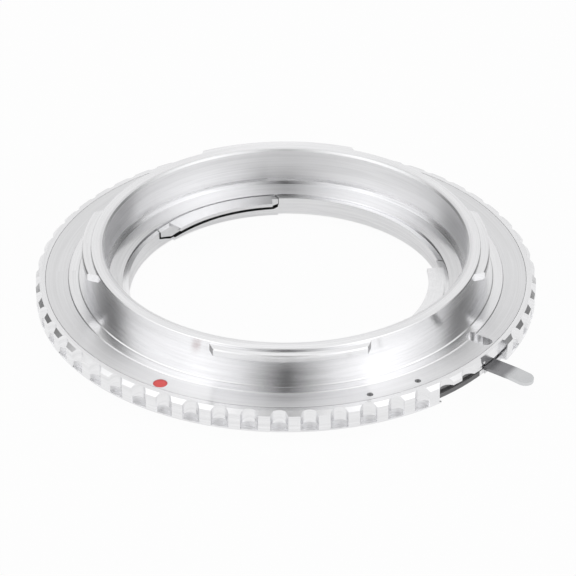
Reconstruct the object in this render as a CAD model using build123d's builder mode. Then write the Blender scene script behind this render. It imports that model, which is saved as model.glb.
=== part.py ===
from build123d import *
import os
from math import cos, degrees, radians, sin, tan

# Lens mount adapter: a thin ring that takes a lens on one side and locks into a camera with the other.
# The origin is on the ring's axis, in the face that seats on the camera, and +Z points into the camera.
# Lengths are in millimetres. Azimuths are in degrees, counterclockwise seen from the camera, from +X.

# Fits, and how far a cut runs past the face it goes through
ring_fit = 0.05
pressed_fit = 0.01
running_fit = 0.03
screw_fit = 0.04
cut_overshoot = 1.0

# Widths that add up outwards from the lens bore to the rim
lens_bore_radius = 21.4
lip_offset = 0.8
lip_width = 2.4
collar_wall = 1.8
inner_step_width = 1.8
outer_step_width = 1.4
seat_width = 3.05
rim_top_width = 1.35

# Camera mount ring: disc, steps at the collar's foot, collar and conical lip
disc_thickness = 1.15
outer_step_height = 0.14
inner_step_height = 0.3
step_chamfer = 0.12
collar_height = 4.8
collar_inner_chamfer = 0.25
collar_outer_chamfer = 0.1
collar_bore_foot = 0.55
collar_ledge_width = 0.5
lip_edge = 0.08

# Camera lugs: the azimuth of each one's middle and half its width at the tip, in degrees
camera_lugs = ((0.8, 16.1), (92.6, 22.3), (179.6, 16.5), (271.4, 21.3))
lug_splay_angle = 2.2
lug_height_above_collar_wall = 1.2
lug_thickness = 1.1
lug_setback = 0.3
lug_edge_break = 0.15

# Slot in the disc for the camera's own lock pin
camera_slot_azimuth = 326.7
camera_slot_width = 1.75
camera_slot_step_gap = 0.4
camera_slot_edge_wall = 0.25

# Index dots
dot_azimuth = 239.1
dot_radius = 0.95
dot_depth = 0.3
dot_setback = 0.05
dot_edge_distance = 1.05

# Grip ring: knurled rim, web under the disc
rim_depth = 3.0
rim_chamfer = 0.5
rim_edge_break = 0.1
web_thickness = 1.15
tooth_count = 55
tooth_azimuth = 271.9
scallop_radius = 1.28
scallop_depth = 0.77
rim_lip_height = 0.3

# Lens mount ring: flange, hub, bore and lugs
lens_flange_inset = 1.15
lens_flange_thickness = 1.6
lens_flange_chamfer = 0.2
hub_wall = 0.6
lens_bore_chamfer = 0.15
ledge_clearance = 0.15
ledge_depth = 0.15
lens_lug_rise = 0.35
lens_lug_azimuths = (117.0, 231.0, 345.0)
lens_lug_start_angle = 24.0
lens_lug_end_angle = 20.5

# Bayonet springs and the slot under each, which sinks from one end of the lug to the other
spring_pocket_depth = 0.05
spring_setback = 0.15
spring_back_gap = 0.05
slot_entry_height = 1.6
slot_start_height = 1.06
slot_middle_height = 0.92
slot_end_height = 0.48
slot_exit_height = 1.5
slot_angles = (-24.3, -21.8, 0.0, 22.0, 28.5)
spring_slot_gap = 0.45
spring_bow = 0.2
tongue_reach = 1.95
tongue_thickness = 0.5
tongue_rise = 0.3
tongue_root_overlap = 0.3
spring_end_height = 1.85
spring_angles = (-23.8, -21.5, 0.0, 21.8, 28.0)

# Release lever: sheet plate between the web and the lens flange, tab outside the rim
lever_thickness = 0.45
lever_face_gap = 0.1
lever_edge_gap = 0.12
lever_travel = 12.0
plate_inset = 0.5
plate_width = 3.78
lobe_setback = 0.4
lobe_half_angle = 6.2
tab_azimuth = 323.6
tab_width = 2.5
tab_reach = 6.0
tab_bend_reach = 3.0
tab_bend_angle = 4.0

# Window in the rim, measured from the tab's edges, and the relief of the teeth around it
window_far_angle = 2.9
window_near_angle = 3.7
window_depth = 1.0
notch_depth = 0.8
notch_lead_angle = 3.6
recess_overlap_angle = 2.0
recess_top = -1.0

# Lock pin and its spring
pin_azimuth = 288.0
pin_stem_radius = 0.8
pin_reach = 0.95
pin_tip_chamfer = 0.25
pin_lift = 0.9
pin_shoulder_radius = 1.05
pin_shoulder_height = 0.54
pin_head_radius = 1.7
pin_head_thickness = 0.35
pin_head_gap = 0.25
pocket_floor_thickness = 0.6
pin_spring_radius = 1.05
pin_spring_wire_radius = 0.12
pin_spring_turns = 4
pin_spring_pocket_radius = 1.5
pin_spring_ceiling = 0.4
spring_end_gap = 0.05

# Fork at the end of the lever's plate, whose prongs run under the pin's head
ramp_gap = 0.08
fork_slot_half_width = 1.15
fork_tip_angle = 0.5
fork_floor_gap = 0.08
fork_pocket_angle = 0.6
plate_start_angle = 1.14

# Guide pins in the plate's arc slot
guide_inset = 1.1
guide_pin_radius = 0.45
guide_slot_gap = 0.07
guide_start_angle = 4.3
guide_spacing_angle = 7.6
plate_end_angle = 3.0

# Return spring, in a groove of the lens flange under the plate
groove_wall = 0.35
groove_floor_thickness = 0.55
groove_wall_angle = 1.8
return_spring_gap = 0.25
return_spring_radius = 0.4
return_spring_wire_radius = 0.1
return_spring_turns = 18
return_spring_end_angle = 0.4
spring_lug_angle = 0.9
spring_lug_gap = 0.1
spring_lug_inner_gap = 0.4
spring_lug_outer_gap = 0.2

# Screws and register pins
screw_shank_radius = 0.8
screw_head_radius = 1.5
screw_head_rim = 0.1
screw_head_setback = 0.05
screw_tip_wall = 0.25
screw_recess_length = 1.7
screw_recess_width = 0.4
screw_recess_depth = 0.4
screw_inset = 2.5
lens_screw_azimuths = (0.0, 90.0, 180.0, 270.0)
camera_screw_azimuths = (45.0, 135.0, 225.0)
register_pin_azimuths = (290.1, 302.8)
register_pin_inset = 1.05
register_pin_radius = 0.42
register_pin_setback = 0.35
register_pin_depth = 2.0

# Radii of the rings, worked out from the bore
lens_lug_radius = lens_bore_radius - lens_lug_rise
spring_bore_radius = lens_lug_radius + spring_setback
tongue_radius = lens_bore_radius - tongue_reach
tongue_root_radius = lens_bore_radius + tongue_root_overlap
lip_radius = lens_bore_radius + lip_offset
ledge_radius = lip_radius + ledge_clearance
spring_pocket_radius = ledge_radius + spring_pocket_depth
collar_bore_radius = lip_radius + lip_width
collar_radius = collar_bore_radius + collar_wall
inner_step_radius = collar_radius + inner_step_width
outer_step_radius = inner_step_radius + outer_step_width
disc_radius = outer_step_radius + seat_width
rim_radius = disc_radius + rim_top_width
window_floor_radius = rim_radius - window_depth
notch_floor_radius = rim_radius - notch_depth
lens_flange_radius = disc_radius - lens_flange_inset
camera_slot_inner_radius = inner_step_radius + camera_slot_step_gap
register_pin_circle_radius = disc_radius - register_pin_inset
screw_circle_radius = lens_flange_radius - screw_inset

# Radii of the lever, its pins and its spring, worked out from the lens flange
plate_outer_radius = lens_flange_radius - plate_inset
plate_inner_radius = plate_outer_radius - plate_width
channel_outer_radius = plate_outer_radius + lever_edge_gap
channel_inner_radius = plate_inner_radius - lever_edge_gap
hub_radius = channel_inner_radius - hub_wall
lobe_radius = window_floor_radius - lobe_setback
tab_tip_radius = rim_radius + tab_reach
tab_bend_radius = rim_radius + tab_bend_reach
pin_circle_radius = plate_inner_radius + pin_head_radius
guide_circle_radius = plate_outer_radius - guide_inset
groove_outer_radius = guide_circle_radius - guide_pin_radius - groove_wall
return_spring_outer_radius = return_spring_radius + return_spring_wire_radius
return_spring_circle_radius = groove_outer_radius - return_spring_gap - return_spring_outer_radius
spring_lug_inner_radius = channel_inner_radius + spring_lug_inner_gap
spring_lug_outer_radius = groove_outer_radius - spring_lug_outer_gap

# Heights worked out from the stack of rings
disc_bottom = -disc_thickness
web_bottom = disc_bottom - web_thickness
lens_face = web_bottom - lens_flange_thickness
rim_bottom = -rim_depth
ledge_height = disc_bottom - ledge_depth
lug_radius = collar_radius + lug_height_above_collar_wall
lug_top = collar_height - lug_setback
lug_bottom = lug_top - lug_thickness
lug_root_radius = (collar_radius + collar_bore_radius) / 2
lug_root_splay = lug_splay_angle * (lug_radius - lug_root_radius) / lug_height_above_collar_wall
lever_bottom = web_bottom + lever_face_gap
lever_top = lever_bottom + lever_thickness
channel_top = lever_top + lever_face_gap
pocket_floor = lens_face + pocket_floor_thickness
groove_floor = lens_face + groove_floor_thickness
pin_head_bottom = pocket_floor + pin_shoulder_height
pin_head_top = pin_head_bottom + pin_head_thickness
pin_tip = lens_face - pin_reach
pin_ceiling = -pin_spring_ceiling

# Angles worked out from the lever's travel
pin_head_angle = degrees(pin_head_radius / pin_circle_radius)
plate_start = pin_azimuth + pin_head_angle + lever_travel + plate_start_angle
first_guide_azimuth = plate_start + guide_start_angle
last_guide_azimuth = first_guide_azimuth + guide_spacing_angle
plate_end = last_guide_azimuth + lever_travel + plate_end_angle
tab_half_angle = degrees(tab_width / 2 / window_floor_radius)
window_start = tab_azimuth - tab_half_angle - lever_travel - window_far_angle
window_end = tab_azimuth + tab_half_angle + window_near_angle
notch_start = tab_azimuth - notch_lead_angle
edge_gap_angle = degrees(lever_edge_gap / channel_inner_radius)
fork_tip = pin_azimuth + fork_tip_angle
fork_pocket_start = fork_tip - lever_travel - fork_pocket_angle
fork_pocket_end = plate_start + fork_pocket_angle
groove_start = plate_start + groove_wall_angle
groove_end = plate_end + fork_pocket_angle


def polar(radius, azimuth):
    """Point at a radius and azimuth in the XY plane."""
    return (radius * cos(radians(azimuth)), radius * sin(radians(azimuth)))


def sector(inner, outer, start, end, bevel=0.0):
    """Outline of part of a flat ring. A bevel, in degrees, shortens its outer arc at both ends."""
    middle = (start + end) / 2
    with BuildSketch() as outline:
        with BuildLine():
            ThreePointArc(polar(inner, start), polar(inner, middle), polar(inner, end))
            Line(polar(inner, end), polar(outer, end - bevel))
            ThreePointArc(polar(outer, end - bevel), polar(outer, middle), polar(outer, start + bevel))
            Line(polar(outer, start + bevel), polar(inner, start))
        make_face()
    return outline.sketch


def radial_plane(azimuth):
    """Plane through the ring's axis, with x outwards at an azimuth and y upwards."""
    outward = (cos(radians(azimuth)), sin(radians(azimuth)), 0)
    return Plane(origin=(0, 0, 0), x_dir=outward, z_dir=(outward[1], -outward[0], 0))


def wall_piece(outline, inner, outer, true_radius):
    """Piece of a round wall between two radii, from an outline of azimuths, true at one radius, and heights."""
    azimuths = [azimuth for azimuth, height in outline]
    heights = [height for azimuth, height in outline]
    middle = (min(azimuths) + max(azimuths)) / 2
    outward = Vector(cos(radians(middle)), sin(radians(middle)), 0)
    along = Vector(-outward.Y, outward.X, 0)
    depth = outer * (1 - cos(radians(max(azimuths) - middle))) + (outer - inner)
    facing = Plane(origin=outward * (outer - depth), x_dir=along, z_dir=outward)
    with BuildPart() as piece:
        with BuildSketch(facing):
            with BuildLine():
                corners = [(true_radius * sin(radians(a - middle)), z) for a, z in outline]
                Polyline(*corners, close=True)
            make_face()
        extrude(amount=depth + (outer - inner))
        with BuildSketch(Plane.XY.offset(min(heights) - cut_overshoot)):
            Circle(outer)
            Circle(inner, mode=Mode.SUBTRACT)
        extrude(amount=max(heights) - min(heights) + 2 * cut_overshoot, mode=Mode.INTERSECT)
    return piece.part


def countersunk_screw(length):
    """Screw with its head's face at the origin and its shank along +Z, with a cross recess."""
    cone_top = screw_head_rim + screw_head_radius - screw_shank_radius
    with BuildPart() as screw:
        with BuildSketch(Plane.XZ):
            with BuildLine():
                Polyline(
                    (0, 0),
                    (screw_head_radius, 0),
                    (screw_head_radius, screw_head_rim),
                    (screw_shank_radius, cone_top),
                    (screw_shank_radius, length),
                    (0, length),
                    close=True,
                )
            make_face()
        revolve(axis=Axis.Z)
        with BuildSketch():
            Rectangle(screw_recess_length, screw_recess_width)
            Rectangle(screw_recess_width, screw_recess_length)
        extrude(amount=screw_recess_depth, mode=Mode.SUBTRACT)
    return screw.part


def countersink(face_height, top_height):
    """Hole for a screw whose head lies just inside a face that looks down, up to a given height."""
    mouth_radius = screw_head_radius + screw_fit
    hole_radius = screw_shank_radius + screw_fit
    straight = screw_head_setback + screw_head_rim
    cone_top = face_height + straight + mouth_radius - hole_radius
    with BuildPart() as hole:
        with BuildSketch(Plane.XZ):
            with BuildLine():
                Polyline(
                    (0, face_height - cut_overshoot),
                    (mouth_radius, face_height - cut_overshoot),
                    (mouth_radius, face_height + straight),
                    (hole_radius, cone_top),
                    (hole_radius, top_height),
                    (0, top_height),
                    close=True,
                )
            make_face()
        revolve(axis=Axis.Z)
    return hole.part


os.makedirs("parts", exist_ok=True)

lens_screw_places = [polar(screw_circle_radius, azimuth) for azimuth in lens_screw_azimuths]
camera_screw_places = [polar(screw_circle_radius, azimuth) for azimuth in camera_screw_azimuths]
register_pin_places = [polar(register_pin_circle_radius, azimuth) for azimuth in register_pin_azimuths]
guide_pin_places = [polar(guide_circle_radius, azimuth) for azimuth in (first_guide_azimuth, last_guide_azimuth)]
pin_place = polar(pin_circle_radius, pin_azimuth)
camera_dot_place = polar(disc_radius - dot_edge_distance, dot_azimuth)
lens_dot_place = polar(lens_flange_radius - dot_edge_distance - lens_flange_chamfer, dot_azimuth)
screw_tip_height = -screw_tip_wall

# Camera mount ring, turned with its collar and milled around the four lugs
with BuildPart() as camera_mount_ring:
    with BuildSketch(Plane.XZ):
        with BuildLine():
            Polyline(
                (lip_radius, disc_bottom),
                (disc_radius, disc_bottom),
                (disc_radius, 0),
                (outer_step_radius, 0),
                (outer_step_radius - step_chamfer, outer_step_height),
                (inner_step_radius, outer_step_height),
                (inner_step_radius - step_chamfer, inner_step_height),
                (collar_radius, inner_step_height),
                (collar_radius, collar_height - collar_outer_chamfer),
                (collar_radius - collar_outer_chamfer, collar_height),
                (collar_bore_radius + collar_inner_chamfer, collar_height),
                (collar_bore_radius, collar_height - collar_inner_chamfer),
                (collar_bore_radius, -collar_bore_foot),
                (collar_bore_radius - collar_ledge_width, -collar_bore_foot),
                (lip_radius, disc_bottom + lip_edge),
                close=True,
            )
        make_face()
    revolve(axis=Axis.Z)
    with BuildSketch(Plane.XY.offset(lug_bottom)):
        for centre, half_angle in camera_lugs:
            half_root = half_angle + lug_root_splay
            add(sector(lug_root_radius, lug_radius, centre - half_root, centre + half_root, lug_root_splay))
    extrude(amount=lug_thickness)
    tip_arcs = edges().filter_by(GeomType.CIRCLE).filter_by(lambda e: abs(e.radius - lug_radius) < 1e-4)
    chamfer(tip_arcs, lug_edge_break)
    with BuildSketch(Plane.XY.offset(disc_bottom)):
        slot_start = camera_slot_inner_radius + camera_slot_width / 2
        slot_end = disc_radius - camera_slot_edge_wall - camera_slot_width / 2
        with Locations(polar((slot_start + slot_end) / 2, camera_slot_azimuth)):
            SlotCenterToCenter(slot_end - slot_start, camera_slot_width, rotation=camera_slot_azimuth)
    extrude(amount=disc_thickness + inner_step_height, mode=Mode.SUBTRACT)
    with BuildSketch(Plane.XY.offset(-dot_depth)):
        with Locations(camera_dot_place):
            Circle(dot_radius)
    extrude(amount=dot_depth, mode=Mode.SUBTRACT)
    with BuildSketch(Plane.XY.offset(disc_bottom)):
        with Locations(*register_pin_places):
            Circle(register_pin_radius + pressed_fit)
    extrude(amount=disc_thickness, mode=Mode.SUBTRACT)
    with BuildSketch(Plane.XY.offset(disc_bottom)):
        with Locations(*lens_screw_places, *camera_screw_places):
            Circle(screw_shank_radius + screw_fit)
    extrude(amount=screw_tip_height - disc_bottom, mode=Mode.SUBTRACT)
    with BuildSketch(Plane.XY.offset(disc_bottom)):
        with Locations(pin_place):
            Circle(pin_spring_pocket_radius)
    extrude(amount=pin_ceiling - disc_bottom, mode=Mode.SUBTRACT)
camera_mount_ring.part.label = "camera_mount_ring"
export_step(camera_mount_ring.part, "parts/camera_mount_ring.step")

# Grip ring: the knurled rim, and the web that is clamped between the other two rings
with BuildPart() as grip_ring:
    with BuildSketch(Plane.XZ):
        with BuildLine():
            Polyline(
                (lens_flange_radius + ring_fit, rim_bottom),
                (rim_radius - rim_edge_break, rim_bottom),
                (rim_radius, rim_bottom + rim_edge_break),
                (rim_radius, -rim_chamfer),
                (rim_radius - rim_chamfer, 0),
                (disc_radius + ring_fit, 0),
                (disc_radius + ring_fit, disc_bottom),
                (hub_radius + ring_fit, disc_bottom),
                (hub_radius + ring_fit, web_bottom),
                (lens_flange_radius + ring_fit, web_bottom),
                close=True,
            )
        make_face()
    revolve(axis=Axis.Z)
    # scallops between the teeth, which stop above a thin lip
    scallop_circle_radius = rim_radius - scallop_depth + scallop_radius
    rim_clear_radius = rim_radius + cut_overshoot
    with BuildSketch(Plane.XY.offset(rim_bottom + rim_lip_height)):
        with PolarLocations(scallop_circle_radius, tooth_count, start_angle=tooth_azimuth + 180 / tooth_count):
            Circle(scallop_radius)
    extrude(amount=rim_depth, mode=Mode.SUBTRACT)
    # relief around the window: low under the teeth, and full height behind the tab
    with BuildSketch(Plane.XY.offset(rim_bottom)):
        add(sector(window_floor_radius, rim_clear_radius, window_start, notch_start + recess_overlap_angle))
    extrude(amount=recess_top - rim_bottom, mode=Mode.SUBTRACT)
    with BuildSketch(Plane.XY.offset(rim_bottom)):
        add(sector(notch_floor_radius, rim_clear_radius, notch_start, window_end))
    extrude(amount=rim_depth, mode=Mode.SUBTRACT)
    # channel for the lever's plate and lobe, open to the outside through the window
    with BuildSketch(Plane.XY.offset(web_bottom)):
        channel_start = pin_azimuth - 2 * pin_head_angle
        add(sector(channel_inner_radius, channel_outer_radius, channel_start, plate_end + edge_gap_angle))
        lobe_start = tab_azimuth - lobe_half_angle - lever_travel - 2 * edge_gap_angle
        lobe_end = tab_azimuth + lobe_half_angle + 2 * edge_gap_angle
        add(sector(plate_inner_radius, lobe_radius + lever_edge_gap, lobe_start, lobe_end))
        add(sector(plate_outer_radius, rim_clear_radius, window_start, window_end))
    extrude(amount=channel_top - web_bottom, mode=Mode.SUBTRACT)
    with BuildSketch(Plane.XY.offset(web_bottom)):
        with Locations(pin_place):
            Circle(pin_head_radius + pin_head_gap)
    extrude(amount=web_thickness, mode=Mode.SUBTRACT)
    with BuildSketch(Plane.XY.offset(web_bottom)):
        with Locations(*lens_screw_places):
            Circle(screw_shank_radius + screw_fit)
    extrude(amount=web_thickness, mode=Mode.SUBTRACT)
    with Locations(*camera_screw_places):
        add(countersink(web_bottom, disc_bottom), mode=Mode.SUBTRACT)
    with BuildSketch(Plane.XY.offset(-register_pin_depth)):
        with Locations(*register_pin_places):
            Circle(register_pin_radius + pressed_fit)
    extrude(amount=register_pin_depth + disc_bottom, mode=Mode.SUBTRACT)
grip_ring.part.label = "grip_ring"
export_step(grip_ring.part, "parts/grip_ring.step")

# Lens mount ring: flange and hub in one, with three lugs around the bore
with BuildPart() as lens_mount_ring:
    with BuildSketch(Plane.XZ):
        with BuildLine():
            Polyline(
                (lens_bore_radius + lens_bore_chamfer, lens_face),
                (lens_flange_radius - lens_flange_chamfer, lens_face),
                (lens_flange_radius, lens_face + lens_flange_chamfer),
                (lens_flange_radius, web_bottom),
                (hub_radius, web_bottom),
                (hub_radius, disc_bottom),
                (ledge_radius, disc_bottom),
                (ledge_radius, ledge_height),
                (lens_bore_radius, ledge_height),
                (lens_bore_radius, lens_face + lens_bore_chamfer),
                close=True,
            )
        make_face()
    revolve(axis=Axis.Z)
    for centre in lens_lug_azimuths:
        with BuildSketch(radial_plane(centre - lens_lug_start_angle)):
            with BuildLine():
                Polyline(
                    (lens_lug_radius + lens_bore_chamfer, lens_face),
                    (ledge_radius, lens_face),
                    (ledge_radius, ledge_height),
                    (lens_lug_radius, ledge_height),
                    (lens_lug_radius, lens_face + lens_bore_chamfer),
                    close=True,
                )
            make_face()
        revolve(axis=Axis.Z, revolution_arc=lens_lug_start_angle + lens_lug_end_angle)
        slot_outline = [
            (centre + slot_angles[0], disc_bottom),
            (centre + slot_angles[0], lens_face + slot_entry_height),
            (centre + slot_angles[1], lens_face + slot_start_height),
            (centre + slot_angles[2], lens_face + slot_middle_height),
            (centre + slot_angles[3], lens_face + slot_end_height),
            (centre + slot_angles[4], lens_face + slot_exit_height),
            (centre + slot_angles[4], disc_bottom),
        ]
        slot = wall_piece(slot_outline, lens_lug_radius - cut_overshoot, spring_pocket_radius, lens_bore_radius)
        add(slot, mode=Mode.SUBTRACT)
    # pocket for the pin's shoulder and the lever's fork, with the pin's hole in its floor
    with BuildSketch(Plane.XY.offset(pocket_floor)):
        pocket_half_width = pin_head_radius + lever_edge_gap
        add(
            sector(
                pin_circle_radius - pocket_half_width,
                pin_circle_radius + pocket_half_width,
                fork_pocket_start,
                fork_pocket_end,
            )
        )
    extrude(amount=web_bottom - pocket_floor, mode=Mode.SUBTRACT)
    with BuildSketch(Plane.XY.offset(lens_face)):
        with Locations(pin_place):
            Circle(pin_stem_radius + running_fit)
    extrude(amount=pocket_floor_thickness, mode=Mode.SUBTRACT)
    # groove for the return spring
    with BuildSketch(Plane.XY.offset(groove_floor)):
        add(sector(channel_inner_radius, groove_outer_radius, groove_start, groove_end))
    extrude(amount=web_bottom - groove_floor, mode=Mode.SUBTRACT)
    with BuildSketch(Plane.XY.offset(groove_floor)):
        with Locations(*guide_pin_places):
            Circle(guide_pin_radius + pressed_fit)
    extrude(amount=web_bottom - groove_floor, mode=Mode.SUBTRACT)
    with Locations(*lens_screw_places):
        add(countersink(lens_face, web_bottom), mode=Mode.SUBTRACT)
    with BuildSketch(Plane.XY.offset(lens_face)):
        with Locations(lens_dot_place):
            Circle(dot_radius)
    extrude(amount=dot_depth, mode=Mode.SUBTRACT)
lens_mount_ring.part.label = "lens_mount_ring"
export_step(lens_mount_ring.part, "parts/lens_mount_ring.step")

# Bayonet springs: one sprung segment over the slot of each lens lug, with a tongue that holds the lens's own lug
for lug, centre in enumerate(lens_lug_azimuths, start=1):
    spring_base = lens_face + spring_slot_gap
    spring_outline = [
        (centre + spring_angles[0], ledge_height),
        (centre + spring_angles[0], lens_face + spring_end_height),
        (centre + spring_angles[1], spring_base + slot_start_height),
        (centre + spring_angles[2], spring_base + slot_middle_height + spring_bow),
        (centre + spring_angles[3], spring_base + slot_end_height),
        (centre + spring_angles[4], lens_face + spring_end_height),
        (centre + spring_angles[4], ledge_height),
    ]
    spring_back_radius = spring_pocket_radius - spring_back_gap
    segment = wall_piece(spring_outline, spring_bore_radius, spring_back_radius, lens_bore_radius)
    with BuildPart() as bayonet_spring:
        add(segment)
        with BuildSketch(Plane.XY.offset(ledge_height + tongue_rise - tongue_thickness)):
            add(sector(tongue_radius, tongue_root_radius, centre + spring_angles[1], centre + spring_angles[3]))
        extrude(amount=tongue_thickness)
    bayonet_spring.part.label = f"bayonet_spring_{lug}"
    export_step(bayonet_spring.part, f"parts/bayonet_spring_{lug}.step")

# Release lever: plate with an arc slot, lobe and tab, forked ramp, and a lug for the return spring
ramp_rise_per_degree = pin_lift / lever_travel
ramp_foot_azimuth = pin_azimuth + pin_head_angle
ramp_foot_height = pin_head_bottom - ramp_gap
ramp_end = plate_start + fork_pocket_angle / 2
fork_tip_height = ramp_foot_height - ramp_rise_per_degree * (ramp_foot_azimuth - fork_tip)
ramp_end_height = ramp_foot_height + ramp_rise_per_degree * (ramp_end - ramp_foot_azimuth)
fork_bottom = pocket_floor + fork_floor_gap
ramp_heel_azimuth = ramp_foot_azimuth + (fork_bottom + lever_thickness - ramp_foot_height) / ramp_rise_per_degree
fork_outline = [
    (fork_tip, fork_bottom),
    (ramp_heel_azimuth, fork_bottom),
    (ramp_end, ramp_end_height - lever_thickness),
    (ramp_end, ramp_end_height),
    (fork_tip, fork_tip_height),
]
fork_inner_radius = pin_circle_radius - pin_head_radius
fork_outer_radius = pin_circle_radius + pin_head_radius
fork = wall_piece(fork_outline, fork_inner_radius, fork_outer_radius, pin_circle_radius)
tab_drop = (tab_tip_radius - tab_bend_radius) * tan(radians(tab_bend_angle))
guide_slot_half_width = guide_pin_radius + guide_slot_gap
guide_slot_end_angle = degrees(guide_slot_half_width / guide_circle_radius)
with BuildPart() as release_lever:
    # tab: a bent strip seen from the side, trimmed to its round-ended outline
    tab_root_radius = (plate_outer_radius + guide_circle_radius + guide_slot_half_width) / 2
    with BuildSketch(radial_plane(tab_azimuth)):
        with BuildLine():
            Polyline(
                (tab_root_radius, lever_bottom),
                (tab_bend_radius, lever_bottom),
                (tab_tip_radius, lever_bottom - tab_drop),
                (tab_tip_radius, lever_top - tab_drop),
                (tab_bend_radius, lever_top),
                (tab_root_radius, lever_top),
                close=True,
            )
        make_face()
    extrude(amount=tab_width / 2, both=True)
    with BuildSketch(Plane.XY.offset(lever_bottom - tab_drop)):
        with Locations(polar((tab_root_radius + tab_tip_radius - tab_width) / 2, tab_azimuth)):
            tab_length = tab_tip_radius - tab_root_radius
            SlotOverall(tab_length + tab_width, tab_width, rotation=tab_azimuth)
    extrude(amount=lever_thickness + tab_drop, mode=Mode.INTERSECT)
    with BuildSketch(Plane.XY.offset(lever_bottom)):
        add(sector(plate_inner_radius, plate_outer_radius, plate_start, plate_end))
        lobe_root = (plate_outer_radius + guide_circle_radius + guide_slot_half_width) / 2
        add(sector(lobe_root, lobe_radius, tab_azimuth - lobe_half_angle, tab_azimuth + lobe_half_angle))
    extrude(amount=lever_thickness)
    add(fork)
    with BuildSketch(Plane.XY.offset(fork_bottom)):
        shoulder_angle = degrees(fork_slot_half_width / pin_circle_radius)
        add(
            sector(
                pin_circle_radius - fork_slot_half_width,
                pin_circle_radius + fork_slot_half_width,
                pin_azimuth - fork_tip_angle,
                pin_azimuth + lever_travel + shoulder_angle,
            )
        )
    extrude(amount=lever_top - fork_bottom, mode=Mode.SUBTRACT)
    with BuildSketch(Plane.XY.offset(lever_bottom)):
        add(
            sector(
                guide_circle_radius - guide_slot_half_width,
                guide_circle_radius + guide_slot_half_width,
                first_guide_azimuth - guide_slot_end_angle,
                last_guide_azimuth + lever_travel + guide_slot_end_angle,
            )
        )
    extrude(amount=lever_thickness, mode=Mode.SUBTRACT)
    with BuildSketch(Plane.XY.offset(groove_floor + spring_lug_gap)):
        add(sector(spring_lug_inner_radius, spring_lug_outer_radius, plate_end - spring_lug_angle, plate_end))
    extrude(amount=lever_bottom - groove_floor - spring_lug_gap)
release_lever.part.label = "release_lever"
export_step(release_lever.part, "parts/release_lever.step")

# Guide pins, pressed into the lens flange
with BuildPart() as lever_guide_pins:
    with BuildSketch(Plane.XY.offset(groove_floor)):
        with Locations(*guide_pin_places):
            Circle(guide_pin_radius)
    extrude(amount=lever_top - groove_floor)
lever_guide_pins.part.label = "lever_guide_pins"
export_step(lever_guide_pins.part, "parts/lever_guide_pins.step")

# Return spring, between the groove's end wall and the lever's lug
spring_axis_height = groove_floor + spring_end_gap + return_spring_outer_radius
spring_low_end = polar(return_spring_circle_radius, groove_start + return_spring_end_angle)
spring_high_end = polar(return_spring_circle_radius, plate_end - spring_lug_angle - return_spring_end_angle)
return_spring_start = Vector(*spring_low_end, spring_axis_height)
return_spring_span = Vector(*spring_high_end, spring_axis_height) - return_spring_start
with BuildPart() as lever_return_spring:
    with BuildLine() as return_coil:
        Helix(
            return_spring_span.length / return_spring_turns,
            return_spring_span.length,
            return_spring_radius,
            center=return_spring_start,
            direction=return_spring_span,
        )
    with BuildSketch(Plane(origin=return_coil.line @ 0, z_dir=return_coil.line % 0)):
        Circle(return_spring_wire_radius)
    sweep(path=return_coil.line, is_frenet=True)
lever_return_spring.part.label = "lever_return_spring"
export_step(lever_return_spring.part, "parts/lever_return_spring.step")

# Lock pin: stem through the lens flange, shoulder in the fork's slot, and head over the prongs
with BuildPart() as lock_pin:
    with Locations((*pin_place, pin_tip)):
        Cylinder(pin_stem_radius, pocket_floor - pin_tip, align=(Align.CENTER, Align.CENTER, Align.MIN))
    chamfer(faces().sort_by(Axis.Z)[0].edges(), pin_tip_chamfer)
    with Locations((*pin_place, pocket_floor)):
        Cylinder(pin_shoulder_radius, pin_shoulder_height, align=(Align.CENTER, Align.CENTER, Align.MIN))
    with Locations((*pin_place, pin_head_bottom)):
        Cylinder(pin_head_radius, pin_head_thickness, align=(Align.CENTER, Align.CENTER, Align.MIN))
lock_pin.part.label = "lock_pin"
export_step(lock_pin.part, "parts/lock_pin.step")

# Lock pin spring, between the pin's head and the disc
pin_spring_low = pin_head_top + spring_end_gap + pin_spring_wire_radius
pin_spring_high = pin_ceiling - spring_end_gap - pin_spring_wire_radius
with BuildPart() as lock_pin_spring:
    with BuildLine() as pin_coil:
        Helix(
            (pin_spring_high - pin_spring_low) / pin_spring_turns,
            pin_spring_high - pin_spring_low,
            pin_spring_radius,
            center=(*pin_place, pin_spring_low),
        )
    with BuildSketch(Plane(origin=pin_coil.line @ 0, z_dir=pin_coil.line % 0)):
        Circle(pin_spring_wire_radius)
    sweep(path=pin_coil.line, is_frenet=True)
lock_pin_spring.part.label = "lock_pin_spring"
export_step(lock_pin_spring.part, "parts/lock_pin_spring.step")

# Screws through the lens ring and the web into the disc
lens_screw_head = lens_face + screw_head_setback
lens_screw = countersunk_screw(screw_tip_height - lens_screw_head)
with BuildPart() as lens_ring_screws:
    with Locations(*[(*place, lens_screw_head) for place in lens_screw_places]):
        add(lens_screw)
lens_ring_screws.part.label = "lens_ring_screws"
export_step(lens_ring_screws.part, "parts/lens_ring_screws.step")

# Screws that hold the web to the disc, with their heads under the lens ring
camera_screw_head = web_bottom + screw_head_setback
camera_screw = countersunk_screw(screw_tip_height - camera_screw_head)
with BuildPart() as camera_ring_screws:
    with Locations(*[(*place, camera_screw_head) for place in camera_screw_places]):
        add(camera_screw)
camera_ring_screws.part.label = "camera_ring_screws"
export_step(camera_ring_screws.part, "parts/camera_ring_screws.step")

# Register pins, which line the disc's slot up with the rim's window
with BuildPart() as register_pins:
    with BuildSketch(Plane.XY.offset(-register_pin_depth)):
        with Locations(*register_pin_places):
            Circle(register_pin_radius)
    extrude(amount=register_pin_depth - register_pin_setback)
register_pins.part.label = "register_pins"
export_step(register_pins.part, "parts/register_pins.step")

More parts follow.
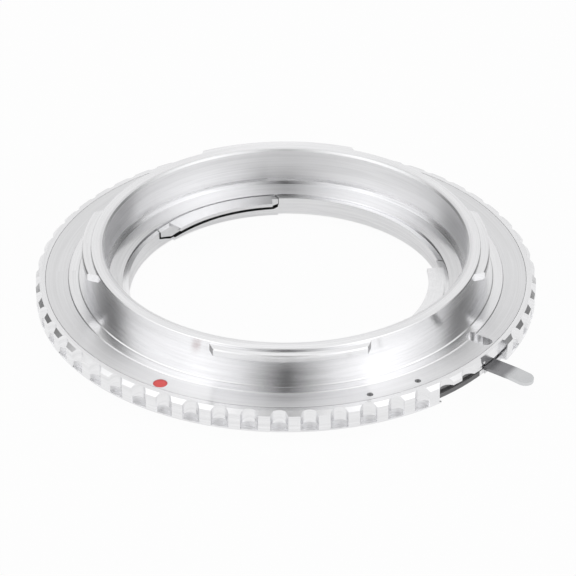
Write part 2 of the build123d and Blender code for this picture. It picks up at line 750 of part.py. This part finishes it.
# Index dots, filled into drilled recesses
with BuildPart() as camera_index_dot:
    with BuildSketch(Plane.XY.offset(-dot_depth)):
        with Locations(camera_dot_place):
            Circle(dot_radius - pressed_fit)
    extrude(amount=dot_depth - dot_setback)
camera_index_dot.part.label = "camera_index_dot"
export_step(camera_index_dot.part, "parts/camera_index_dot.step")

with BuildPart() as lens_index_dot:
    with BuildSketch(Plane.XY.offset(lens_face + dot_setback)):
        with Locations(lens_dot_place):
            Circle(dot_radius - pressed_fit)
    extrude(amount=dot_depth - dot_setback)
lens_index_dot.part.label = "lens_index_dot"
export_step(lens_index_dot.part, "parts/lens_index_dot.step")
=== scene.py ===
from math import cos, pi, radians, sin

import bmesh
import bpy
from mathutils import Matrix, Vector


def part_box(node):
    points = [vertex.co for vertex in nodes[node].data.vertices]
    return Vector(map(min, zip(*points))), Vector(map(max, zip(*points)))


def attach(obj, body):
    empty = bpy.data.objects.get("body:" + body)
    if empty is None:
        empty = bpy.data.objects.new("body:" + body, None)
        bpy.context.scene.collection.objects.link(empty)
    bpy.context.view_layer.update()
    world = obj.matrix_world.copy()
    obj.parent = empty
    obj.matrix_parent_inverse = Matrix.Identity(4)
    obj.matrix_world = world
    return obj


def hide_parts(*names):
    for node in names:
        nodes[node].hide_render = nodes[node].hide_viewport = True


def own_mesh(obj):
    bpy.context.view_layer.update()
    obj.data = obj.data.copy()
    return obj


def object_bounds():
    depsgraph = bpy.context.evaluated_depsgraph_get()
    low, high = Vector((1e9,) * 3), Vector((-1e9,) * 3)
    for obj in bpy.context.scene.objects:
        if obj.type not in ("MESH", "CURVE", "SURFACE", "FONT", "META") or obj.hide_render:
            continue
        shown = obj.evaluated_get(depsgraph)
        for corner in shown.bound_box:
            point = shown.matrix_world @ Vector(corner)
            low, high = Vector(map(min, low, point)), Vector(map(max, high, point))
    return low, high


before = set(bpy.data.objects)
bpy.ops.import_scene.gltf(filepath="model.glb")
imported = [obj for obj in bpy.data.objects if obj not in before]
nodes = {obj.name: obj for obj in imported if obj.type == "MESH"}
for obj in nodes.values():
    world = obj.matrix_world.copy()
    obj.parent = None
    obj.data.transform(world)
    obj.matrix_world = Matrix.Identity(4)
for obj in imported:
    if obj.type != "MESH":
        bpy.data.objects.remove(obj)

cad_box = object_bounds()

# Camera mount ring: one blank of brass, turned with its collar and lip, milled around the four lugs and
# plated. The tool leaves fine lines around the axis, which are coarser inside the collar and on the outer
# flange. The ring is screwed to the lens ring from below.
plated_tone = (0.9, 0.9, 0.91)
plated_anisotropy = 0.85
plated_polish = 0.2
plated_lines = 0.22
grain_density = 9000.0
mark_density = 1500.0
full_share = 0.8
collar_inside_radius = 0.0252
collar_inside_foot = 0.0002
collar_inside_roughness = 0.14
cone_top_radius = 0.0243
cone_bottom = -0.0015
cone_smoothness = 0.1
outer_flange_radius = 0.0295
outer_flange_bottom = -0.0001
outer_flange_roughness = 0.12
# The lock slot is darkened with painted shade inside and a painted shadow along its near edge.
lock_slot_azimuth = radians(326.7)
lock_slot_half_width = 0.00093
lock_slot_top = -0.00008
lock_slot_start = 0.0306
lock_slot_shade = 0.5
lock_slot_near_edge = -0.00045
lock_slot_edge_shade = 0.4
lug_root_radius = 0.02645
lug_face_radius = 0.02758
lug_tip_radius = 0.0276
lug_splay = radians(2.2) / 0.0012
lug_low = 0.00338
lug_high = 0.0045
# The front lug's ends are darkened with painted shade.
front_lug_start = radians(-109.9)
front_lug_end = radians(-67.3)
lug_end_margin = radians(0.25)
lug_end_shade = 0.68


class Signal:
    """A shader socket, on which arithmetic adds Math nodes."""

    def __init__(self, tree, socket):
        self.tree = tree
        self.socket = socket

    def node(self, kind, settings=None, outlet=0, **inlets):
        """Add a node: its settings first, then its sockets by name or as i0, i1 and so on."""
        made = self.tree.nodes.new(kind)
        for name, value in (settings or {}).items():
            if name == "stops":
                ramp = made.color_ramp.elements
                for spot, (position, shade) in enumerate(value):
                    stop = ramp[spot] if spot < len(ramp) else ramp.new(position)
                    stop.position = position
                    stop.color = (shade, shade, shade, 1)
            else:
                setattr(made, name, value)
        for name, value in inlets.items():
            inlet = made.inputs[int(name[1:]) if name[1:].isdigit() else name.replace("_", " ")]
            if isinstance(value, Signal):
                self.tree.links.new(value.socket, inlet)
            else:
                inlet.default_value = value
        return Signal(self.tree, made.outputs[outlet])

    def maths(self, operation, first, second=0.0):
        return self.node("ShaderNodeMath", {"operation": operation}, i0=first, i1=second)

    def outlet(self, name):
        return Signal(self.tree, self.socket.node.outputs[name])

    def __add__(self, other):
        return self.maths("ADD", self, other)

    def __radd__(self, other):
        return self.maths("ADD", other, self)

    def __sub__(self, other):
        return self.maths("SUBTRACT", self, other)

    def __rsub__(self, other):
        return self.maths("SUBTRACT", other, self)

    def __mul__(self, other):
        return self.maths("MULTIPLY", self, other)

    def __rmul__(self, other):
        return self.maths("MULTIPLY", other, self)

    def __gt__(self, other):
        return self.maths("GREATER_THAN", self, other)

    def __lt__(self, other):
        return self.maths("LESS_THAN", self, other)


class Finish:
    """A material in the making, with the place of a point on the ring: x, y, z, radius and azimuth."""

    def __init__(self, name, metallic=1.0, anisotropic=0.0):
        self.material = bpy.data.materials.new(name)
        self.material.use_nodes = True
        self.tree = self.material.node_tree
        self.shader = self.tree.nodes["Principled BSDF"]
        self.shader.inputs["Metallic"].default_value = metallic
        self.shader.inputs["Anisotropic"].default_value = anisotropic
        self.shader.inputs["Anisotropic Rotation"].default_value = 0.25
        self.place = Signal(self.tree, self.tree.nodes.new("ShaderNodeTexCoord").outputs["Object"])
        split = self.place.node("ShaderNodeSeparateXYZ", i0=self.place)
        self.x = split.outlet("X")
        self.y = split.outlet("Y")
        self.z = split.outlet("Z")
        self.radius = self.place.maths("SQRT", self.x * self.x + self.y * self.y)
        self.azimuth = self.place.maths("ARCTAN2", self.y, self.x)

    def noise(self, x, y, z, detail=2.0):
        spot = self.place.node("ShaderNodeCombineXYZ", X=x, Y=y, Z=z)
        return self.place.node("ShaderNodeTexNoise", Vector=spot, Scale=1.0, Detail=detail, Roughness=0.6)

    def between(self, value, low, high):
        return (value > low) * (value < high)

    def blend(self, share, first, second):
        rgba = {"data_type": "RGBA"}
        return self.place.node("ShaderNodeMix", rgba, outlet=2, i0=share, i6=first, i7=second)

    def ramp(self, value, start, end, low, high):
        """A smooth rise from low at start to high at end."""
        smooth = {"interpolation_type": "SMOOTHSTEP"}
        return value.node("ShaderNodeMapRange", smooth, i0=value, i1=start, i2=end, i3=low, i4=high)

    def colour(self, share, dark, light, painted_reflection=None):
        """Base colour, from dark at a share of 0 to light at 1, and a painted reflection: the colour glossy
        rays see.
        """
        mix = self.blend(share, (*dark, 1), (*light, 1))
        if painted_reflection:
            glossy = self.place.node("ShaderNodeLightPath").outlet("Is Glossy Ray")
            mix = self.blend(glossy, mix, (*painted_reflection, 1))
        self.tree.links.new(mix.socket, self.shader.inputs["Base Color"])

    def roughness(self, value):
        self.tree.links.new(value.socket, self.shader.inputs["Roughness"])

    def relief(self, height, strength, distance):
        bump = self.place.node("ShaderNodeBump", Strength=strength, Distance=distance, Height=height)
        self.tree.links.new(bump.socket, self.shader.inputs["Normal"])

    def dress(self, *names):
        for name in names:
            nodes[name].data.materials.clear()
            nodes[name].data.materials.append(self.material)


def turned(name, tone, anisotropic, polish, lines, rougher=None, shade=None):
    """Finish from a lathe: fine lines and broader tool marks around the axis, under plating or bare."""
    finish = Finish(name, anisotropic=anisotropic)
    reach = finish.radius + finish.z
    grain = finish.noise(reach * grain_density, finish.azimuth * 0.8, finish.radius * 300.0, 3.0)
    marks = finish.noise(reach * mark_density, finish.azimuth * 2.5, finish.radius * 100.0)
    share = (grain - 0.5) * lines + (marks - 0.5) * (lines * 0.7) + full_share
    rough = (grain - 0.5) * 0.12 + (marks - 0.5) * 0.08 + polish
    if rougher:
        rough = rough + rougher(finish)
    # A shade, where one is given, darkens the colour: painted shade.
    if shade:
        share = share * shade(finish)
    finish.colour(share, (0.0, 0.0, 0.0), tuple(part / full_share for part in tone))
    finish.roughness(rough)
    finish.relief(grain, 0.15, 0.00002)
    return finish


def ring_rougher(finish):
    """Coarser lines on the collar's inner wall and the outer flange, and finer ones on the cone."""
    inside = (finish.radius < collar_inside_radius) * (finish.z > collar_inside_foot)
    cone = (finish.radius < cone_top_radius) * (finish.z > cone_bottom)
    flange = (finish.radius > outer_flange_radius) * (finish.z > outer_flange_bottom)
    rough = inside * collar_inside_roughness - cone * cone_smoothness
    return rough + flange * outer_flange_roughness


def lock_slot_painted_shade(finish):
    """Painted shade inside the milled slot for the camera's pin, with a painted shadow along its near edge.
    """
    across = finish.y * cos(lock_slot_azimuth) - finish.x * sin(lock_slot_azimuth)
    along = finish.x * cos(lock_slot_azimuth) + finish.y * sin(lock_slot_azimuth)
    inside = finish.between(across, -lock_slot_half_width, lock_slot_half_width)
    inside = inside * (along > lock_slot_start) * (finish.z < lock_slot_top)
    near_edge = (across < lock_slot_near_edge) * lock_slot_edge_shade
    return 1.0 - inside * (near_edge + lock_slot_shade)


def lug_end_painted_shade(finish):
    """Painted shade on the milled ends of the front lug, which darkens them below the turned faces."""
    depth = finish.between(finish.radius, lug_root_radius, lug_face_radius)
    outside = depth * finish.between(finish.z, lug_low, lug_high)
    splay = (lug_tip_radius - finish.radius) * lug_splay
    first = finish.between(finish.azimuth - front_lug_start + splay, -lug_end_margin, lug_end_margin)
    last = finish.between(finish.azimuth - front_lug_end - splay, -lug_end_margin, lug_end_margin)
    return 1.0 - outside * (first + last) * lug_end_shade


# Painted shade on the camera ring: the lock slot and the front lug's ends.
def ring_painted_shade(finish):
    return lock_slot_painted_shade(finish) * lug_end_painted_shade(finish)


camera_ring_finish = turned(
    "plated_turned_brass",
    plated_tone,
    plated_anisotropy,
    plated_polish,
    plated_lines,
    rougher=ring_rougher,
    shade=ring_painted_shade,
)
camera_ring_finish.dress("camera_mount_ring")

# Register pins: two short pins of dark drawn steel wire, pressed into the flange just below its face.
# Only their ends show, at the bottom of two small holes.
register_pin_tone = (0.35, 0.35, 0.355)

pin_finish = Finish("darkened_pin_wire")
pin_grain = pin_finish.noise(pin_finish.x * 12000.0, pin_finish.y * 12000.0, pin_finish.z * 3000.0)
pin_finish.colour(pin_grain, tuple(part * 0.6 for part in register_pin_tone), register_pin_tone)
pin_finish.roughness((pin_grain - 0.5) * 0.2 + 0.35)
pin_finish.relief(pin_grain, 0.2, 0.00002)
pin_finish.dress("register_pins")

# Camera index dot: red enamel filled into a shallow recess in the flange and cured. It is deeper in colour
# at its rim. Glossy rays see it in a painted greyish colour, so the metal around shows a painted grey
# reflection.
enamel_red = (0.9, 0.09, 0.085)
enamel_deep_red = (0.5, 0.03, 0.03)
enamel_painted_reflection = (0.66, 0.5, 0.5)


def enamel(name, node):
    """Filled enamel: deeper in colour around the edge, with a faint unevenness in the face."""
    low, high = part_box(node)
    finish = Finish(name, metallic=0.0)
    half_width = (high[0] - low[0]) / 2
    aside = finish.x - (low[0] + high[0]) / 2
    away = finish.y - (low[1] + high[1]) / 2
    reach = finish.place.maths("SQRT", aside * aside + away * away)
    rim = finish.ramp(reach, half_width * 0.7, half_width, 0.0, 1.0)
    waves = finish.noise(finish.x * 2500.0, finish.y * 2500.0, finish.z * 2500.0)
    share = 1.0 - rim * 0.5 - (waves - 0.5) * 0.25
    # Glossy rays see the dot in a greyish colour: a painted reflection.
    finish.colour(share, enamel_deep_red, enamel_red, enamel_painted_reflection)
    finish.roughness((waves - 0.5) * 0.15 + 0.3)
    finish.relief(waves, 0.15, 0.00004)
    finish.dress(node)


enamel("camera_index_enamel", "camera_index_dot")

# Grip ring: aluminium, turned, then milled with round scallops between its teeth and cut away at the
# lever's window. The wall at the back of the window is left dull, as the cutter leaves it, and darkened
# with painted shade. Its web is screwed to the camera ring.
rim_tone = (0.89, 0.89, 0.9)
rim_anisotropy = 0.3
rim_polish = 0.22
rim_lines = 0.2
window_start = radians(-54.0)
window_end = radians(-39.5)
window_wall_outer_radius = 0.0331
window_wall_inner_radius = 0.0315
window_top = -0.00098
window_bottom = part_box("grip_ring")[0][2] + 0.00004
# Painted shade on the wall at the back of the window.
window_painted_shade = 0.65
window_roughness = 0.6
scallop_foot_top = -0.0019
scallop_foot_radius = 0.03385
scallop_foot_roughness = 0.4


def window_wall(finish):
    """The wall at the back of the lever's window."""
    depth = finish.between(finish.radius, window_wall_inner_radius, window_wall_outer_radius)
    height = finish.between(finish.z, window_bottom, window_top)
    return depth * height * finish.between(finish.azimuth, window_start, window_end)


def rim_painted_shade(finish):
    """Painted shade: the wall at the back of the window is darkened."""
    return 1.0 - window_wall(finish) * window_painted_shade


def rim_rougher(finish):
    """The window's wall is dull, and so is the foot of each scallop."""
    scallop = finish.between(finish.radius, window_wall_outer_radius, scallop_foot_radius)
    foot = scallop * (finish.z < scallop_foot_top)
    return foot * scallop_foot_roughness + window_wall(finish) * window_roughness


rim_finish = turned(
    "satin_turned_aluminium",
    rim_tone,
    rim_anisotropy,
    rim_polish,
    rim_lines,
    rougher=rim_rougher,
    shade=rim_painted_shade,
)
rim_finish.dress("grip_ring")

# Lens mount ring: brass, turned and plated as the camera ring is, with the slots over its three lugs milled
# from inside. The slots are darkened with painted shade. Four screws hold it to the camera ring.
bore_tone = (0.95, 0.95, 0.96)
bore_anisotropy = 0.6
bore_polish = 0.18
bore_lines = 0.25
lug_slot_inner_radius = 0.02155
lug_slot_outer_radius = 0.0236
lug_slot_bottom = -0.00375
lug_slot_top = -0.0022
# Painted shade inside the lug slots.
lug_slot_shade = 0.93


def lug_slot_painted_shade(finish):
    """Painted shade on the inside of the slots over the lens lugs, which is set back from the bore."""
    depth = finish.between(finish.radius, lug_slot_inner_radius, lug_slot_outer_radius)
    return 1.0 - depth * finish.between(finish.z, lug_slot_bottom, lug_slot_top) * lug_slot_shade


bore_finish = turned(
    "plated_bore_brass", bore_tone, bore_anisotropy, bore_polish, bore_lines, shade=lug_slot_painted_shade
)
bore_finish.dress("lens_mount_ring")

# Bayonet springs: three arcs of rolled spring steel, each with a thin tongue that reaches into the bore.
# They lie loose in the pockets over the slots, and press the lens's own lugs down.
spring_tone = (0.9, 0.9, 0.91)
rolled_share = 0.8

rolled_finish = Finish("rolled_spring_steel", anisotropic=0.5)
rolled_z, rolled_azimuth, rolled_radius = rolled_finish.z, rolled_finish.azimuth, rolled_finish.radius
rolling = rolled_finish.noise(rolled_z * 9000.0, rolled_azimuth * 6.0, rolled_radius * 9000.0)
flow = rolled_finish.noise(rolled_z * 900.0, rolled_azimuth * 20.0, rolled_radius * 900.0)
rolled_finish.colour(
    (rolling - 0.5) * 0.15 + (flow - 0.5) * 0.1 + rolled_share,
    (0.0, 0.0, 0.0),
    tuple(part / rolled_share for part in spring_tone),
)
rolled_finish.roughness((rolling - 0.5) * 0.15 + 0.2)
rolled_finish.relief(rolling, 0.06, 0.00002)
rolled_finish.dress("bayonet_spring_1", "bayonet_spring_2", "bayonet_spring_3")

# Release lever: a plate stamped from sheet steel and tumbled until its edges are soft. Its tab is polished
# where the finger lies, and towards the window it is darkened with painted shade. The plate lies in a channel
# between the two rings.
lever_tone = (0.76, 0.77, 0.78)
lever_painted_shade_grey = (0.3, 0.3, 0.31)
tab_painted_shade_end = 0.0361
tab_bright_start = 0.0374
tab_brightness = 0.9

tumbled_finish = Finish("tumbled_sheet_steel")
tumbled_x, tumbled_y, tumbled_z = tumbled_finish.x, tumbled_finish.y, tumbled_finish.z
pebble = tumbled_finish.noise(tumbled_x * 5000.0, tumbled_y * 5000.0, tumbled_z * 5000.0, 4.0)
cloud = tumbled_finish.noise(tumbled_x * 700.0, tumbled_y * 700.0, tumbled_z * 700.0)
# The tab's inboard part, towards the window, is darkened with painted shade.
outboard = tumbled_finish.ramp(tumbled_finish.radius, tab_painted_shade_end, tab_bright_start, 0.0, tab_brightness)
tumbled_finish.colour(outboard + (pebble - 0.5) * 0.12 + (cloud - 0.5) * 0.2, lever_painted_shade_grey, lever_tone)
tumbled_finish.roughness((pebble - 0.5) * 0.15 + 0.3 - outboard * 0.06)
tumbled_finish.relief(pebble, 0.1, 0.00002)
tumbled_finish.dress("release_lever")

# Lever guide pins and lock pin: small steel pins turned from bar, with the lathe's lines around each of
# them. The guide pins are pressed in, and the lock pin slides in the lens ring's flange.
bar_tone = (0.8, 0.8, 0.81)

bar_finish = Finish("turned_pin_steel")
turning = bar_finish.noise(bar_finish.z * 14000.0, bar_finish.x * 300.0, bar_finish.y * 300.0, 3.0)
bar_finish.colour(turning, tuple(part * 0.75 for part in bar_tone), bar_tone)
bar_finish.roughness((turning - 0.5) * 0.15 + 0.22)
bar_finish.relief(turning, 0.15, 0.00002)
bar_finish.dress("lever_guide_pins", "lock_pin")

# Coil springs: drawn music wire, wound cold, with faint lines along the wire. One pushes the lever back along
# its groove, and one presses the lock pin out of the lens flange. Both lie loose in their pockets.
wire_tone = (0.6, 0.6, 0.62)

wire_finish = Finish("drawn_spring_wire")
drawing = wire_finish.noise(wire_finish.radius * 9000.0, wire_finish.azimuth * 40.0, wire_finish.z * 9000.0)
wire_finish.colour(drawing, tuple(part * 0.6 for part in wire_tone), wire_tone)
wire_finish.roughness((drawing - 0.5) * 0.2 + 0.3)
wire_finish.relief(drawing, 0.2, 0.00002)
wire_finish.dress("lever_return_spring", "lock_pin_spring")


def shortening_coil(name, node):
    """A spring's coil as a piece of its own: a copy of its node's mesh, hung from the adapter, with the node
    hidden.
    """
    piece = bpy.data.objects.new(name, nodes[node].data.copy())
    bpy.context.scene.collection.objects.link(piece)
    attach(piece, "adapter")
    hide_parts(node)
    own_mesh(piece)


shortening_coil(
    "lever_return_coil",
    "lever_return_spring",
)
shortening_coil(
    "lock_pin_coil", "lock_pin_spring"
)

# Screws: countersunk steel screws with a cross recess. Four hold the lens ring to the camera ring, and three
# hold the grip ring. Their heads are turned, so each has rings of its own around its middle.
screw_tone = (0.74, 0.75, 0.77)
screw_ring_pitch = 26000.0


def screw_steel(name, node, first_azimuth, count, circle_radius):
    """Turned heads: the ring is folded into one wedge a screw, to measure from each screw's own middle."""
    finish = Finish(name)
    wedge = 2 * pi / count
    turn = (finish.azimuth - radians(first_azimuth)) * (1 / wedge) + 2.5
    folded = (finish.place.maths("FRACT", turn) - 0.5) * wedge
    aside = finish.radius * finish.place.maths("COSINE", folded) - circle_radius
    away = finish.radius * finish.place.maths("SINE", folded)
    reach = finish.place.maths("SQRT", aside * aside + away * away)
    rings = finish.noise(reach * screw_ring_pitch, turn * 3.0, finish.z * 2000.0)
    finish.colour(rings, tuple(part * 0.7 for part in screw_tone), screw_tone)
    finish.roughness((rings - 0.5) * 0.2 + 0.25)
    finish.relief(rings, 0.2, 0.00002)
    finish.dress(node)


screw_head_radius = 0.0015
screw_circle_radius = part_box("lens_ring_screws")[1][0] - screw_head_radius
screw_steel("lens_screw_steel", "lens_ring_screws", 0.0, 4, screw_circle_radius)
screw_steel("camera_screw_steel", "camera_ring_screws", 45.0, 4, screw_circle_radius)

# Lens index dot: the same enamel as on the camera side, in a recess in the lens flange.
# A lens is lined up on it before it is turned into the bore.
enamel("lens_index_enamel", "lens_index_dot")

# Floor: a wide sheet of white board that the ring lies on. It shows white in the picture and in the metal,
# but near the bore the metal sees a painted shadow, together with the board's real shade. From below it can
# be looked through.
floor_half_width = 1.0
floor_tone = 0.8
floor_camera_white = 0.96
painted_shadow_reach = 0.018
clear_reach = 0.034
painted_shadow_white = 0.3
clear_white = 0.8

floor_mesh = bpy.data.meshes.new("floor")
floor = bpy.data.objects.new("floor", floor_mesh)
bpy.context.scene.collection.objects.link(floor)
floor_shape = bmesh.new()
bmesh.ops.create_grid(floor_shape, x_segments=1, y_segments=1, size=floor_half_width)
bmesh.ops.translate(floor_shape, verts=floor_shape.verts, vec=(0.0, 0.0, cad_box[0][2]))
floor_shape.to_mesh(floor_mesh)
floor_shape.free()
board = Finish("white_board", metallic=0.0)
fibre = board.noise(board.x * 400.0, board.y * 400.0, 0.0)
board.colour(fibre, (floor_tone * 0.97,) * 3, (floor_tone * 1.03,) * 3)
board.shader.inputs["Roughness"].default_value = 0.9
light_path = board.place.node("ShaderNodeLightPath")
# Painted shadow: near the bore, glossy rays see less of the white and more of the board's real shade.
clear = board.ramp(board.radius, painted_shadow_reach, clear_reach, painted_shadow_white, clear_white)
seen = light_path.outlet("Is Camera Ray") + light_path.outlet("Is Transmission Ray")
white = board.place.node("ShaderNodeEmission", Color=(1, 1, 1, 1), Strength=1.0)
lit = board.place.node(
    "ShaderNodeMixShader",
    i0=seen * floor_camera_white + light_path.outlet("Is Glossy Ray") * clear,
    i1=Signal(board.tree, board.shader.outputs["BSDF"]),
    i2=white,
)
below = board.place.node("ShaderNodeNewGeometry").outlet("Backfacing")
through = board.place.node("ShaderNodeBsdfTransparent")
sheet = board.place.node("ShaderNodeMixShader", i0=below, i1=lit, i2=through)
board.tree.links.new(sheet.socket, board.tree.nodes["Material Output"].inputs["Surface"])
floor_mesh.materials.append(board.material)

# Studio: white panels stand around the ring, with a dark gap on the camera's side and one at each side
# towards the back, under a white ceiling. The metal is bright where it shows a panel and grey where it
# shows a gap. The panels' strengths are given around the full turn, from +X.
ceiling_start = 0.78
ceiling_end = 0.92
zenith_start = 0.94
ceiling_strength = 1.05
zenith_strength = 0.55
room_strength = 0.95
glossy_extra = 0.1
panel_strengths = (
    (0.0, 0.95),
    (0.035, 0.85),
    (0.06, 0.25),
    (0.1, 0.16),
    (0.15, 0.3),
    (0.2, 0.65),
    (0.25, 0.9),
    (0.3, 0.65),
    (0.35, 0.3),
    (0.4, 0.12),
    (0.435, 0.25),
    (0.465, 0.9),
    (0.5, 1.05),
    (0.6, 1.3),
    (0.67, 0.95),
    (0.75, 0.04),
    (0.83, 0.95),
    (0.9, 1.35),
    (0.96, 1.2),
    (1.0, 0.95),
)

world = bpy.data.worlds.new("studio")
bpy.context.scene.world = world
world.use_nodes = True
studio = world.node_tree
background = studio.nodes["Background"]
background.inputs["Color"].default_value = (1, 1, 1, 1)
direction = Signal(studio, studio.nodes.new("ShaderNodeTexCoord").outputs["Generated"])
aim = direction.node("ShaderNodeSeparateXYZ", i0=direction)
bearing = direction.maths("ARCTAN2", aim.outlet("Y"), aim.outlet("X")) * (0.5 / pi)
panels = direction.node(
    "ShaderNodeValToRGB", {"stops": panel_strengths}, i0=direction.maths("FRACT", bearing + 1.0)
)
height = aim.outlet("Z")
smooth = {"interpolation_type": "SMOOTHSTEP"}
ceiling = direction.node(
    "ShaderNodeMapRange", smooth, i0=height, i1=ceiling_start, i2=ceiling_end, i3=0.0, i4=1.0
)
above = direction.node(
    "ShaderNodeMapRange", smooth, i0=height, i1=zenith_start, i2=1.0, i3=ceiling_strength, i4=zenith_strength
)
room = panels * (1.0 - ceiling) + ceiling * above
light_path = direction.node("ShaderNodeLightPath")
room = room * (light_path.outlet("Is Glossy Ray") * glossy_extra + room_strength)
seen = light_path.outlet("Is Camera Ray") + light_path.outlet("Is Transmission Ray")
studio.links.new(direction.maths("MAXIMUM", seen, room).socket, background.inputs["Strength"])

# Camera: looks down on the ring from the front, with the long lens and the distance that give the
# photograph's ellipses.
camera_elevation = radians(32.58)
camera_distance = 0.4607
camera_aim = Vector((0.0003, 0.00013, -0.00279))
camera_focal_length = 210.8

camera = bpy.data.objects.new("camera", bpy.data.cameras.new("camera"))
bpy.context.scene.collection.objects.link(camera)
camera.data.sensor_width = 36.0
camera.data.lens = camera_focal_length
camera.data.clip_start = 0.01
camera.location = camera_aim + camera_distance * Vector((0, -cos(camera_elevation), sin(camera_elevation)))
camera.rotation_euler = (pi / 2 - camera_elevation, 0, 0)
bpy.context.scene.camera = camera
bpy.context.scene.view_settings.view_transform = "Standard"
